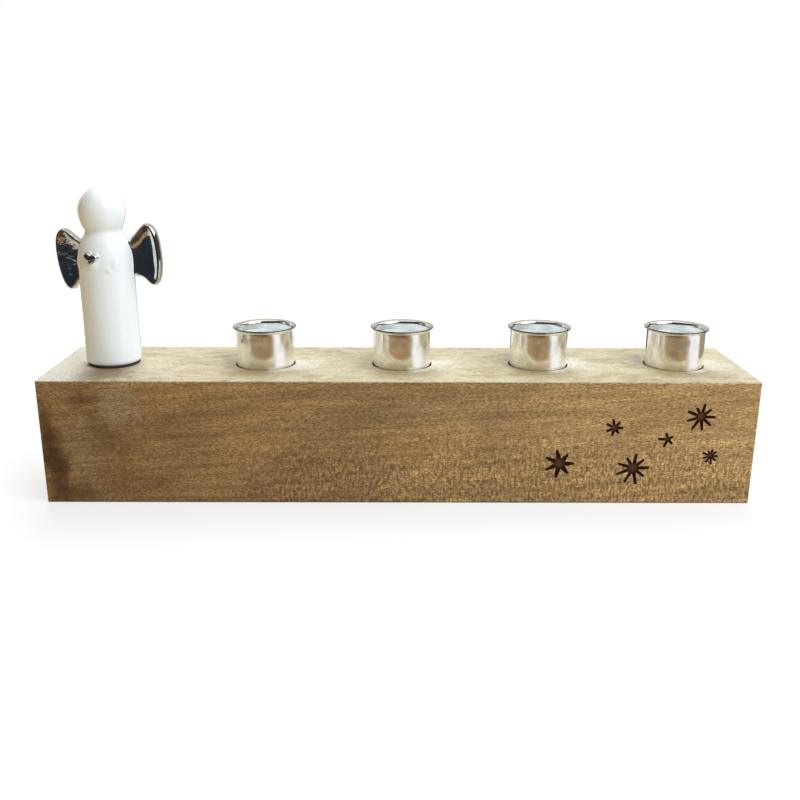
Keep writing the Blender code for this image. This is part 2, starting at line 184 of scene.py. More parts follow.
WHITE = (1.0, 1.0, 1.0, 1.0)


# Small helpers for meshes


def new_object(name, shape):
    """A bmesh as a smooth-shaded object at the origin."""
    mesh = bpy.data.meshes.new(name)
    shape.to_mesh(mesh)
    shape.free()
    mesh.shade_smooth()
    obj = bpy.data.objects.new(name, mesh)
    bpy.context.scene.collection.objects.link(obj)
    return obj


def bake_modifiers(obj):
    """The object's evaluated mesh in place of its own, with no modifier left."""
    graph = bpy.context.evaluated_depsgraph_get()
    mesh = bpy.data.meshes.new_from_object(obj.evaluated_get(graph))
    obj.modifiers.clear()
    obj.data = mesh


def arc_points(center_r, center_z, radius, start, end, count):
    points = []
    for step in range(count + 1):
        angle = start + (end - start) * step / count
        points.append((center_r + radius * math.cos(angle), center_z + radius * math.sin(angle)))
    return points


def spun_shape(profile, steps):
    """A closed bmesh from a profile of (radius, height) points spun once round Z."""
    shape = bmesh.new()
    verts = [shape.verts.new((radius, 0.0, height)) for radius, height in profile]
    edges = [shape.edges.new(pair) for pair in zip(verts, verts[1:])]
    bmesh.ops.spin(shape, geom=verts + edges, cent=(0.0, 0.0, 0.0), axis=(0.0, 0.0, 1.0),
                   dvec=(0.0, 0.0, 0.0), angle=math.tau, steps=steps, use_merge=True,
                   use_duplicate=False)
    bmesh.ops.remove_doubles(shape, verts=shape.verts, dist=MERGE_DISTANCE)
    bmesh.ops.recalc_face_normals(shape, faces=shape.faces)
    return shape


# Small helpers for materials


def new_material(name):
    material = bpy.data.materials.new(name)
    material.use_nodes = True
    tree = material.node_tree
    shader = tree.nodes["Principled BSDF"]
    return material, tree, shader


def add_node(tree, kind, sockets=None, **settings):
    """A node with its settings, and its sockets given a value or joined to another's output."""
    node = tree.nodes.new(kind)
    for name, value in settings.items():
        setattr(node, name, value)
    for key, value in (sockets or {}).items():
        if isinstance(value, bpy.types.NodeSocket):
            tree.links.new(value, node.inputs[key])
        else:
            node.inputs[key].default_value = value
    return node


def calculate(tree, operation, first, second=0.0, clamp=False):
    node = add_node(tree, "ShaderNodeMath", {0: first, 1: second}, operation=operation)
    node.use_clamp = clamp
    return node.outputs[0]


def ramp(tree, value, low, high, out_low=0.0, out_high=1.0):
    """The value eased from one range to another and held at its ends."""
    node = add_node(tree, "ShaderNodeMapRange",
                    {"Value": value, "From Min": low, "From Max": high,
                     "To Min": out_low, "To Max": out_high},
                    interpolation_type="SMOOTHSTEP")
    return node.outputs["Result"]


def between(tree, value, low, high, soft):
    """1 inside a range, eased to 0 over the soft width on either side of its ends."""
    rising = ramp(tree, value, low - soft / 2.0, low + soft / 2.0)
    falling = ramp(tree, value, high - soft / 2.0, high + soft / 2.0, 1.0, 0.0)
    return calculate(tree, "MULTIPLY", rising, falling)


def mix_colour(tree, share, first, second, blend="MIX"):
    node = add_node(tree, "ShaderNodeMix", {0: share, 6: first, 7: second},
                    data_type="RGBA", blend_type=blend)
    return node.outputs[2]


def mix_float(tree, share, first, second):
    node = add_node(tree, "ShaderNodeMix", {0: share, 2: first, 3: second}, data_type="FLOAT")
    return node.outputs[0]


def shaded(tree, colour, factor):
    """The colour times a factor."""
    return mix_colour(tree, 1.0, colour, factor, "MULTIPLY")


def placed(tree, vector, location=(0.0, 0.0, 0.0), turn=(0.0, 0.0, 0.0), scale=(1.0, 1.0, 1.0)):
    """Coordinates moved, turned and stretched for a pattern."""
    node = add_node(tree, "ShaderNodeMapping",
                    {"Vector": vector, "Location": location, "Rotation": turn, "Scale": scale})
    return node.outputs["Vector"]


def noise(tree, vector, scale, detail=2.0, rough=0.5, distortion=0.0):
    node = add_node(tree, "ShaderNodeTexNoise",
                    {"Vector": vector, "Scale": scale, "Detail": detail, "Roughness": rough,
                     "Distortion": distortion})
    return node.outputs["Fac"]


def object_place(tree):
    return add_node(tree, "ShaderNodeTexCoord").outputs["Object"]


def relief(tree, height, depth, strength=1.0, under=None):
    """A bump of a real depth in metres, over another bump if one is given."""
    sockets = {"Height": height, "Distance": depth, "Strength": strength}
    if under is not None:
        sockets["Normal"] = under
    return add_node(tree, "ShaderNodeBump", sockets).outputs["Normal"]


# Wood

WOOD_DARK = (0.285, 0.160, 0.056, 1.0)
WOOD_LIGHT = (0.465, 0.2837, 0.107, 1.0)
WOOD_PALE = (0.300, 0.215, 0.130, 1.0)
WOOD_DEEP = (0.070, 0.030, 0.008, 1.0)
# Top colour, paler than the front: partly the wood's own, partly painted light from above
WOOD_TOP_PAINTED_LIT = (0.620, 0.560, 0.390, 1.0)
WOOD_TOP_STREAK = (0.400, 0.330, 0.200, 1.0)
WOOD_PORE = (0.090, 0.046, 0.017, 1.0)
FLECK_GAIN = (1.75, 1.80, 1.95, 1.0)
WOOD_BURNT = (0.012, 0.003, 0.001, 1.0)
WOOD_BURNT_FLOOR = (0.050, 0.018, 0.007, 1.0)
WOOD_STAR_CORE = (0.105, 0.056, 0.024, 1.0)
# Colour of the painted contact shadow along the underside
WOOD_CONTACT_SHADOW = (0.120, 0.045, 0.018, 1.0)
# Painted light and shade on the top: shadow, gleam, pale light and grey shadow round the cups, and the
# angel's shadow; the pale colour also lightens the left end
TOP_SHADE = (0.480, 0.360, 0.160, 1.0)
TOP_GLEAM = (0.900, 0.880, 0.780, 1.0)
TOP_GREY_SHADOW = (0.460, 0.460, 0.390, 1.0)
TOP_PALE = (0.800, 0.780, 0.680, 1.0)
TOP_ANGEL_SHADOW = (0.290, 0.205, 0.110, 1.0)
WOOD_END = (0.200, 0.115, 0.050, 1.0)
GRAIN_SLOPE = math.radians(4.0)

# Light and shade painted on the top round each cup: azimuth from straight ahead towards the right, from and
# to with its soft edge in degrees, the distances where it is strongest and ends, and
# its share and colour
TOP_ROUND_CUP = (
    (-42.0, 62.0, 24.0, 0.0160, 0.0290, 0.75, TOP_SHADE),
    (14.0, 44.0, 16.0, 0.0130, 0.0185, 0.90, TOP_GLEAM),
    (48.0, 110.0, 30.0, 0.0130, 0.0300, 0.70, TOP_PALE),
    (-160.0, -65.0, 40.0, 0.0135, 0.0220, 0.55, TOP_GREY_SHADOW),
)
# Painted shadow of the angel on the top: how far in front of the foot its middle lies, and one over its
# size across and front to back
TOP_FOOT_SHADE_FRONT = 0.0185
TOP_FOOT_SHADE_SCALE = (1.0 / 0.0150, 1.0 / 0.0120, 0.0)

# Middles of the engraved stars, with the radius of the core: x, z, radius
STAR_CORES = (
    (0.0680, 0.0181, 0.0025), (0.0902, 0.0341, 0.0015), (0.0993, 0.0161, 0.0023),
    (0.1128, 0.0290, 0.0011), (0.1260, 0.0391, 0.0021), (0.1316, 0.0217, 0.0013),
)


def patch_share(tree, place, patch, warp):
    """Where one soft patch of the front's figure lies, with a wavering edge."""
    x, z, half_wide, half_high, turn, amount = patch
    centred = placed(tree, place, location=(-x, 0.0, -z))
    turned = placed(tree, centred, turn=(0.0, math.radians(turn), 0.0))
    stretched = placed(tree, turned, scale=(1.0 / half_wide, 0.0, 1.0 / half_high))
    length = add_node(tree, "ShaderNodeVectorMath", {0: stretched}, operation="LENGTH")
    distance = calculate(tree, "ADD", length.outputs["Value"], warp)
    return ramp(tree, distance, 0.25, 1.35, abs(amount), 0.0)


def cup_painted_light_and_shade(tree, place, centre, colour):
    """Painted light and shade round one cup on the top: shadow in front, gleam and pale light to the right,
    grey shadow behind.
    """
    flat = placed(tree, placed(tree, place, location=-centre), scale=(1.0, 1.0, 0.0))
    axis = add_node(tree, "ShaderNodeSeparateXYZ", {"Vector": flat}).outputs
    front = calculate(tree, "MULTIPLY", axis["Y"], -1.0)
    azimuth = calculate(tree, "DEGREES", calculate(tree, "ARCTAN2", axis["X"], front))
    length = add_node(tree, "ShaderNodeVectorMath", {0: flat}, operation="LENGTH").outputs["Value"]
    for left, right, soft, near, far, amount, shade in TOP_ROUND_CUP:
        share = calculate(tree, "MULTIPLY", between(tree, azimuth, left, right, soft),
                          ramp(tree, length, near, far, amount, 0.0))
        colour = mix_colour(tree, share, colour, shade)
    return colour


def top_painted_light_and_shade(tree, place, axis, colour):
    """Painted light and shade on the top: round each cup, the angel's shadow, and paler at the left end."""
    for node in CUP_NODES:
        low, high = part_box(node)
        colour = cup_painted_light_and_shade(tree, place, (low + high) / 2.0, colour)
    # Painted shadow of the angel on the top, in front of its foot, with a wavering edge
    uneven = noise(tree, place, 220.0, 3.0, 0.6, 0.5)
    foot = placed(tree, place, location=(-FIGURE_PLACE.x, TOP_FOOT_SHADE_FRONT, 0.0))
    stretched = placed(tree, foot, scale=TOP_FOOT_SHADE_SCALE)
    reach = add_node(tree, "ShaderNodeVectorMath", {0: stretched}, operation="LENGTH")
    edge = calculate(tree, "ADD", reach.outputs["Value"], ramp(tree, uneven, 0.2, 0.8, -0.3, 0.3))
    colour = mix_colour(tree, ramp(tree, edge, 0.45, 1.25, 0.85, 0.0), colour, TOP_ANGEL_SHADOW)
    left_end = ramp(tree, axis["X"], -0.140, -0.127, 0.85, 0.0)
    return mix_colour(tree, left_end, colour, TOP_PALE)


def wood_material():
    low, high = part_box("wood_block")
    material, tree, shader = new_material("oiled_hardwood")
    place = object_place(tree)
    axis = add_node(tree, "ShaderNodeSeparateXYZ", {"Vector": place}).outputs
    sloped = placed(tree, place, turn=(0.0, GRAIN_SLOPE, 0.0))

    # Where the colours belong: top, ends, the front's skin and the engraving behind it
    on_top = ramp(tree, axis["Z"], high.z - 0.0006, high.z - 0.0001)
    end_reach = calculate(tree, "ABSOLUTE", axis["X"])
    on_end = ramp(tree, end_reach, high.x - 0.0006, high.x - 0.0001)
    near_front = ramp(tree, axis["Y"], low.y, low.y + 0.012, 1.0, 0.0)

    # Slow colour: browner on the left, lighter on the right, with a cloudy figure
    along = ramp(tree, axis["X"], low.x, high.x)
    colour = mix_colour(tree, along, WOOD_DARK, WOOD_LIGHT)
    cloud = noise(tree, placed(tree, sloped, scale=(0.35, 1.0, 1.0)), 60.0, 3.0, 0.55, 0.6)
    colour = shaded(tree, colour, ramp(tree, cloud, 0.28, 0.72, 0.84, 1.16))
    warp = ramp(tree, noise(tree, place, 130.0, 3.0, 0.6, 0.8), 0.2, 0.8, -0.45, 0.45)
    for patch in FRONT_PATCHES:
        share = calculate(tree, "MULTIPLY", patch_share(tree, place, patch, warp), near_front)
        colour = mix_colour(tree, share, colour, WOOD_PALE if patch[-1] > 0.0 else WOOD_DEEP)

    # Growth layers as long soft streaks, and a wavier figure across them
    layers = noise(tree, placed(tree, sloped, scale=(0.05, 1.0, 1.0)), 420.0, 4.0, 0.65, 0.35)
    colour = shaded(tree, colour, ramp(tree, layers, 0.30, 0.70, 0.82, 1.16))
    threads = noise(tree, placed(tree, sloped, scale=(0.05, 1.0, 1.0)), 1250.0, 2.0, 0.6, 0.25)
    colour = shaded(tree, colour, ramp(tree, threads, 0.30, 0.70, 0.86, 1.14))
    waves = noise(tree, placed(tree, sloped, scale=(0.22, 1.0, 1.0)), 260.0, 4.0, 0.7, 1.0)
    colour = shaded(tree, colour, ramp(tree, waves, 0.30, 0.70, 0.91, 1.09))

    # The planed top is paler, partly its own colour and partly painted light from above, with soft
    # grey-brown streaks
    top_cloud = noise(tree, placed(tree, place, scale=(0.5, 1.0, 1.0)), 140.0, 5.0, 0.65, 0.9)
    top_with_painted_light = mix_colour(tree, ramp(tree, top_cloud, 0.40, 0.74), WOOD_TOP_PAINTED_LIT, WOOD_TOP_STREAK)
    top_with_painted_light = top_painted_light_and_shade(tree, place, axis, top_with_painted_light)
    colour = mix_colour(tree, on_top, colour, top_with_painted_light)
    colour = mix_colour(tree, on_end, colour, mix_colour(tree, 0.7, colour, WOOD_END))

    # Pores and pale flecks: short dashes along the grain
    pore_place = placed(tree, sloped, scale=(0.26, 1.0, 1.0))
    pores = ramp(tree, noise(tree, pore_place, 2300.0, 2.0, 0.7, 0.5), 0.44, 0.60)
    coarse = ramp(tree, noise(tree, pore_place, 1100.0, 3.0, 0.7, 0.9), 0.56, 0.72, 0.0, 0.30)
    pore_share = calculate(tree, "MAXIMUM", pores, coarse)
    pore_depth = ramp(tree, on_top, 0.0, 1.0, 0.62, 0.34)
    colour = mix_colour(tree, calculate(tree, "MULTIPLY", pore_share, pore_depth), colour, WOOD_PORE)
    fleck_place = placed(tree, sloped, location=(3.1, 1.7, 0.4), scale=(0.32, 1.0, 1.0))
    flecks = ramp(tree, noise(tree, fleck_place, 2200.0, 2.0, 0.7, 0.5), 0.44, 0.62)
    fleck_share = calculate(tree, "MULTIPLY", flecks, ramp(tree, on_top, 0.0, 1.0, 0.62, 0.15))
    flecked = mix_colour(tree, 1.0, colour, FLECK_GAIN, "MULTIPLY")
    colour = mix_colour(tree, fleck_share, colour, flecked)

    # Fine upright saw marks across the grain, strongest low down and to the right
    tick_place = placed(tree, place, location=(0.7, 0.2, 0.9), scale=(1.0, 1.0, 0.34))
    ticks = noise(tree, tick_place, 1000.0, 2.0, 0.6, 0.3)
    tick_zone = noise(tree, placed(tree, place, location=(1.3, 0.4, 0.6)), 32.0, 1.0, 0.5, 0.0)
    low_down = ramp(tree, axis["Z"], 0.014, 0.040, 1.0, 0.10)
    rightward = ramp(tree, axis["X"], -0.11, -0.03, 0.25, 1.0)
    zone = calculate(tree, "MULTIPLY", ramp(tree, tick_zone, 0.28, 0.50), low_down)
    tick_share = calculate(tree, "MULTIPLY", zone, rightward)
    ticked = shaded(tree, colour, ramp(tree, ticks, 0.36, 0.64, 0.62, 1.42))
    colour = mix_colour(tree, tick_share, colour, ticked)

    # A painted contact shadow: the wood turns dark and reddish within a millimetre of its underside
    contact_shadow = ramp(tree, axis["Z"], low.z + 0.0003, low.z + 0.0010, 0.75, 0.0)
    colour = mix_colour(tree, contact_shadow, colour, WOOD_CONTACT_SHADOW)

    # Burnt engraving: everything cut in behind the front's skin
    behind = ramp(tree, axis["Y"], low.y + 0.00006, low.y + 0.00030)
    shallow = ramp(tree, axis["Y"], low.y + 0.0011, low.y + 0.0013, 1.0, 0.0)
    inside_z = calculate(tree, "MULTIPLY", ramp(tree, axis["Z"], low.z + 0.002, low.z + 0.004),
                         ramp(tree, axis["Z"], high.z - 0.004, high.z - 0.002, 1.0, 0.0))
    inside_x = ramp(tree, end_reach, high.x - 0.004, high.x - 0.002, 1.0, 0.0)
    burnt = calculate(tree, "MULTIPLY", calculate(tree, "MULTIPLY", behind, shallow),
                      calculate(tree, "MULTIPLY", inside_z, inside_x))
    char = noise(tree, place, 1600.0, 3.0, 0.6, 0.3)
    burnt_colour = mix_colour(tree, ramp(tree, char, 0.35, 0.65), WOOD_BURNT, WOOD_BURNT_FLOOR)
    for x, z, radius in STAR_CORES:
        core = placed(tree, place, location=(-x, 0.0, -z), scale=(1.0, 0.0, 1.0))
        reach = add_node(tree, "ShaderNodeVectorMath", {0: core}, operation="LENGTH")
        uneven = calculate(tree, "MULTIPLY", char, radius)
        edge = calculate(tree, "ADD", reach.outputs["Value"], uneven)
        lit = ramp(tree, edge, radius * 0.6, radius * 1.8, 0.90, 0.0)
        burnt_colour = mix_colour(tree, lit, burnt_colour, WOOD_STAR_CORE)
    colour = mix_colour(tree, burnt, colour, burnt_colour)

    tree.links.new(colour, shader.inputs["Base Color"])
    gloss = noise(tree, sloped, 260.0, 3.0, 0.6)
    rough = mix_float(tree, burnt, ramp(tree, gloss, 0.3, 0.7, 0.44, 0.62), 0.95)
    tree.links.new(rough, shader.inputs["Roughness"])
    tree.links.new(ramp(tree, burnt, 0.0, 1.0, 0.35, 0.05), shader.inputs["Specular IOR Level"])
    dents = calculate(tree, "MULTIPLY", pore_share, -1.0)
    surface = relief(tree, dents, 0.00006, 0.7)
    surface = relief(tree, ticks, 0.00003, 0.4, under=surface)
    surface = relief(tree, calculate(tree, "MULTIPLY", char, burnt), 0.0002, 0.8, under=surface)
    tree.links.new(surface, shader.inputs["Normal"])
    return material


# Plated cups

PLATE_BRIGHT = (0.93, 0.92, 0.89, 1.0)
PLATE_HAZE = (0.86, 0.85, 0.82, 1.0)
# Insides: partly the satin plate, partly painted reflection of bright light from above, so bluish white and
# mostly diffuse
PLATE_INSIDE_BRIGHT = (0.96, 0.99, 1.0, 1.0)
PLATE_INSIDE_HAZE = (0.86, 0.92, 0.95, 1.0)
PLATE_INSIDE_CLOUD = (0.46, 0.54, 0.57, 1.0)
PLATE_INSIDE_METALLIC = 0.30
EDGE_DARK = (0.06, 0.05, 0.04, 1.0)
EDGE_LIGHT = (0.22, 0.20, 0.16, 1.0)
OUTSIDE_SLOT, INSIDE_SLOT, EDGE_SLOT = range(3)


def cup_material():
    material, tree, shader = new_material("silver_plate")
    place = object_place(tree)
    haze = noise(tree, place, 220.0, 3.0, 0.6, 0.5)
    colour = mix_colour(tree, ramp(tree, haze, 0.3, 0.7), PLATE_BRIGHT, PLATE_HAZE)
    tree.links.new(colour, shader.inputs["Base Color"])
    shader.inputs["Metallic"].default_value = 1.0
    tree.links.new(ramp(tree, haze, 0.3, 0.7, 0.10, 0.16), shader.inputs["Roughness"])
    spin_lines = noise(tree, placed(tree, place, scale=(0.02, 0.02, 1.0)), 5200.0, 2.0, 0.6)
    dents = noise(tree, place, 160.0, 2.0, 0.5)
    surface = relief(tree, dents, 0.00006, 0.35)
    surface = relief(tree, spin_lines, 0.000004, 0.5, under=surface)
    tree.links.new(surface, shader.inputs["Normal"])
    return material


def cup_inside_material():
    material, tree, shader = new_material("silver_plate_inside")
    place = object_place(tree)
    haze = noise(tree, place, 380.0, 4.0, 0.6, 0.5)
    colour = mix_colour(tree, ramp(tree, haze, 0.3, 0.7), PLATE_INSIDE_BRIGHT, PLATE_INSIDE_HAZE)
    clouds = noise(tree, placed(tree, place, scale=(0.5, 0.5, 1.4)), 210.0, 3.0, 0.6, 0.8)
    cloud_share = ramp(tree, clouds, 0.50, 0.68, 0.0, 0.30)
    colour = mix_colour(tree, cloud_share, colour, PLATE_INSIDE_CLOUD)
    tree.links.new(colour, shader.inputs["Base Color"])
    # Mostly diffuse, for the painted reflection of light from above
    shader.inputs["Metallic"].default_value = PLATE_INSIDE_METALLIC
    tree.links.new(ramp(tree, haze, 0.3, 0.7, 0.30, 0.46), shader.inputs["Roughness"])
    tree.links.new(relief(tree, haze, 0.00003, 0.5), shader.inputs["Normal"])
    return material


def cup_edge_material():
    """The rounded edge of the sheet at the rim, darker and duller than the plated faces."""
    material, tree, shader = new_material("dark_rim_edge")
    place = object_place(tree)
    burr = noise(tree, place, 900.0, 3.0, 0.6, 0.4)
    colour = mix_colour(tree, ramp(tree, burr, 0.3, 0.7), EDGE_DARK, EDGE_LIGHT)
    tree.links.new(colour, shader.inputs["Base Color"])
    shader.inputs["Metallic"].default_value = 1.0
    tree.links.new(ramp(tree, burr, 0.3, 0.7, 0.22, 0.36), shader.inputs["Roughness"])
    tree.links.new(relief(tree, burr, 0.00002, 0.5), shader.inputs["Normal"])
    return material


def cup_profile(outer, rim, height):
    """Section of a drawn cup, from the middle of its floor inside to the middle underneath."""
    inner = outer - CUP_WALL
    inner_corner = CUP_CORNER_RADIUS - CUP_WALL
    half_wall = CUP_WALL / 2.0
    lip_start = height - CUP_LIP_HEIGHT
    reach = rim - outer
    profile = [(0.0, CUP_WALL)]
    profile += arc_points(inner - inner_corner, CUP_WALL + inner_corner, inner_corner,
                          -math.pi / 2.0, 0.0, CUP_CORNER_POINTS)
    wall_low = CUP_CORNER_RADIUS
    rise = (lip_start - wall_low) / CUP_WALL_POINTS
    profile += [(inner, wall_low + rise * step) for step in range(1, CUP_WALL_POINTS)]
    flare = []
    for step in range(CUP_LIP_POINTS):
        share = step / CUP_LIP_POINTS * math.pi / 2.0
        out = reach * (1.0 - math.cos(share))
        flare.append((out, lip_start + (CUP_LIP_HEIGHT - half_wall) * math.sin(share)))
    profile += [(inner + out, up) for out, up in flare]
    profile += arc_points(rim - half_wall, height - half_wall, half_wall, math.pi / 2.0,
                          -math.pi / 2.0, CUP_LIP_POINTS)
    profile += [(outer + out, up - out / 2.0) for out, up in reversed(flare)]
    profile += [(outer, lip_start - rise * step) for step in range(1, CUP_WALL_POINTS)]
    profile += arc_points(outer - CUP_CORNER_RADIUS, CUP_CORNER_RADIUS, CUP_CORNER_RADIUS,
                          0.0, -math.pi / 2.0, CUP_CORNER_POINTS)
    profile.append((0.0, 0.0))
    return profile


def make_cup(node, number, outside, inside, edge):
    """One drawn cup, very slightly out of round, each in its own direction."""
    low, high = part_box(node)
    centre = (low + high) / 2.0
    rim = (high.x - low.x) / 2.0
    outer = rim - CUP_LIP_REACH
    height = high.z - low.z
    shape = spun_shape(cup_profile(outer, rim, height), CUP_SPIN_STEPS)
    lean = number * 1.3
    for vert in shape.verts:
        radius = math.hypot(vert.co.x, vert.co.y)
        if radius > outer / 2.0:
            angle = math.atan2(vert.co.y, vert.co.x)
            wave = math.cos(2.0 * angle + lean) + 0.5 * math.cos(3.0 * angle - lean)
            shift = 1.0 - CUP_OUT_OF_ROUND * (1.0 + wave / 1.5) / 2.0 / radius
            vert.co.x *= shift
            vert.co.y *= shift
    half_wall = CUP_WALL / 2.0
    for face in shape.faces:
        middle = face.calc_center_median()
        radius = math.hypot(middle.x, middle.y)
        below_rim = middle.z < height - CUP_LIP_HEIGHT - CUP_SATIN_BELOW_LIP
        inside_wall = radius < outer - half_wall and middle.z > half_wall
        face.material_index = OUTSIDE_SLOT
        if radius > rim - half_wall:
            face.material_index = EDGE_SLOT
        elif below_rim and inside_wall:
            face.material_index = INSIDE_SLOT
    bmesh.ops.translate(shape, vec=(centre.x, centre.y, low.z), verts=shape.verts)
    cup = new_object(f"plated_cup_{number}", shape)
    for material in (outside, inside, edge):
        cup.data.materials.append(material)
    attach(cup, BODY)
    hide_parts(node)


# Felt pad

FELT_DARK = (0.012, 0.007, 0.004, 1.0)
FELT_LIGHT = (0.060, 0.036, 0.022, 1.0)


def felt_material():
    material, tree, shader = new_material("brown_felt")
    place = object_place(tree)
    fibres = noise(tree, place, 3200.0, 4.0, 0.7, 1.2)
    colour = mix_colour(tree, ramp(tree, fibres, 0.3, 0.7), FELT_DARK, FELT_LIGHT)
    tree.links.new(colour, shader.inputs["Base Color"])
    shader.inputs["Roughness"].default_value = 0.95
    shader.inputs["Sheen Weight"].default_value = 0.15
    tree.links.new(relief(tree, fibres, 0.0001, 0.8), shader.inputs["Normal"])
    return material


def make_pad(material):
    """A cut disc of felt, pressed between the figure's foot and the wood."""
    low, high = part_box("felt_pad")
    wood_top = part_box("wood_block")[1].z
    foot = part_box("angel_figure")[0].z
    centre = (low + high) / 2.0
    radius = (high.x - low.x) / 2.0
    thick = foot - wood_top
    shape = bmesh.new()
    bmesh.ops.create_cone(shape, cap_ends=True, segments=PAD_SEGMENTS, radius1=radius,
                          radius2=radius, depth=thick)
    rim = [edge for edge in shape.edges if len(edge.link_faces) == 2
           and any(len(face.verts) > 4 for face in edge.link_faces)]
    bmesh.ops.bevel(shape, geom=rim, offset=PAD_ROUNDING, offset_type="OFFSET", segments=4,
                    profile=0.5, affect="EDGES", material=-1)
    for vert in shape.verts:
        angle = math.atan2(vert.co.y, vert.co.x)
        ragged = math.sin(17.0 * angle) + math.sin(29.0 * angle + 1.0) + math.sin(43.0 * angle)
        spread = 1.0 + PAD_RAGGED_SHARE * ragged
        vert.co.x *= spread
        vert.co.y *= spread
    bmesh.ops.translate(shape, vec=(centre.x, centre.y, wood_top + thick / 2.0),
                        verts=shape.verts)
    pad = new_object("felt_disc", shape)
    pad.data.materials.append(material)
    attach(pad, BODY)
    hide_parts("felt_pad")


# Porcelain figure


def smooth_larger(first, second, width):
    overlap = max(width - abs(first - second), 0.0) / width
    return max(first, second) + overlap * overlap * width / 4.0


def half_width(radius, rise, offset):
    share = min(abs(offset) / rise, 1.0)
    return radius * math.sqrt(1.0 - share * share)


def body_radius(height):
    """The turned body's radius at a height above the foot, head left out."""
    if height >= SHOULDER_HEIGHT:
        return (BODY_RADIUS - SHOULDER_INSET
                + half_width(SHOULDER_INSET, SHOULDER_RISE, height - SHOULDER_HEIGHT))
    if height >= FOOT_TAPER_HEIGHT:
        return BODY_RADIUS
    share = (FOOT_TAPER_HEIGHT - height) / FOOT_TAPER_HEIGHT
    return BODY_RADIUS + (FOOT_RADIUS - BODY_RADIUS) * share


def skin_radius(height):
    """The turned figure's radius up to the middle of the head, neck included."""
    head = half_width(HEAD_RADIUS, HEAD_LOWER_RISE, max(HEAD_HEIGHT - height, 0.0))
    return smooth_larger(body_radius(height), head, NECK_BLEND)


def figure_profile():
    profile = [(0.0, HEAD_HEIGHT + HEAD_RADIUS)]
    profile += arc_points(0.0, HEAD_HEIGHT, HEAD_RADIUS, math.pi / 2.0, 0.0, HEAD_POINTS)[1:]
    for step in range(1, NECK_POINTS):
        height = HEAD_HEIGHT + (SHOULDER_HEIGHT - HEAD_HEIGHT) * step / NECK_POINTS
        profile.append((skin_radius(height), height))
    for step in range(BODY_POINTS):
        height = SHOULDER_HEIGHT + (FOOT_TAPER_HEIGHT - SHOULDER_HEIGHT) * step / BODY_POINTS
        profile.append((BODY_RADIUS, height))
    profile.append((BODY_RADIUS, FOOT_TAPER_HEIGHT))
    profile += arc_points(FOOT_RADIUS - FOOT_EDGE_RADIUS, FOOT_EDGE_RADIUS, FOOT_EDGE_RADIUS,
                          0.0, -math.pi / 2.0, FOOT_EDGE_POINTS)
    profile.append((0.0, 0.0))
    return profile


def wing_place():
    tilt = Matrix.Rotation(WING_PAIR_TILT, 4, "Y")
    return Matrix.Translation((0.0, WING_BEHIND_AXIS, SHOULDER_HEIGHT + WING_MIDDLE)) @ tilt


def make_wing(side):
    """One wing from a coarse cage: a broad rounded rim round a dish. side is 1 or -1."""
    shape = bmesh.new()
    verts = [shape.verts.new((BODY_RADIUS + reach, -WING_EDGE_THICKNESS / 2.0, rise - WING_MIDDLE))
             for reach, rise in WING_OUTLINE]
    front = shape.faces.new(verts)
    raised = bmesh.ops.extrude_face_region(shape, geom=[front])
    moved = [item for item in raised["geom"] if isinstance(item, bmesh.types.BMVert)]
    bmesh.ops.translate(shape, vec=(0.0, WING_EDGE_THICKNESS, 0.0), verts=moved)
    bmesh.ops.recalc_face_normals(shape, faces=shape.faces)
    broad = [face for face in shape.faces if len(face.verts) == len(WING_OUTLINE)]
    for width, rise in WING_RIM_RINGS:
        bmesh.ops.inset_individual(shape, faces=broad, thickness=width, depth=rise,
                                   use_even_offset=True)
    if side < 0:
        bmesh.ops.scale(shape, vec=(-1.0, 1.0, 1.0), verts=shape.verts)
        bmesh.ops.reverse_faces(shape, faces=shape.faces)
    bmesh.ops.transform(shape, matrix=wing_place(), verts=shape.verts)
    wing = new_object("wing", shape)
    soften = wing.modifiers.new("soften", "SUBSURF")
    soften.levels = WING_LEVELS
    soften.render_levels = WING_LEVELS
    bake_modifiers(wing)
    return wing


def on_breast(angle, rise, depth):
    """A point at an angle from straight ahead, below the body's surface by the depth."""
    radius = BODY_RADIUS - depth
    return Vector((radius * math.sin(angle), -radius * math.cos(angle), SHOULDER_HEIGHT + rise))


def heart_outline():
    """A heart drawn by a sum of cosines, centred, as (across, up) points."""
    raw = []
    for step in range(HEART_POINTS):
        angle = math.tau * step / HEART_POINTS
        up = (13.0 * math.cos(angle) - 5.0 * math.cos(2.0 * angle)
              - 2.0 * math.cos(3.0 * angle) - math.cos(4.0 * angle))
        raw.append((math.sin(angle) ** 3, up))
    low = min(up for across, up in raw)
    high = max(up for across, up in raw)
    return [(across * HEART_WIDTH / 2.0, ((up - low) / (high - low) - 0.5) * HEART_TALL)
            for across, up in raw]


def heart_place():
    """The heart's own frame: a little round the breast, with its tip leaning aside."""
    lean = Matrix.Rotation(HEART_LEAN, 4, "Y")
    around = Matrix.Rotation(HEART_AROUND, 4, "Z")
    return Matrix.Translation(on_breast(HEART_AROUND, HEART_RISE, HEART_ROOT)) @ around @ lean


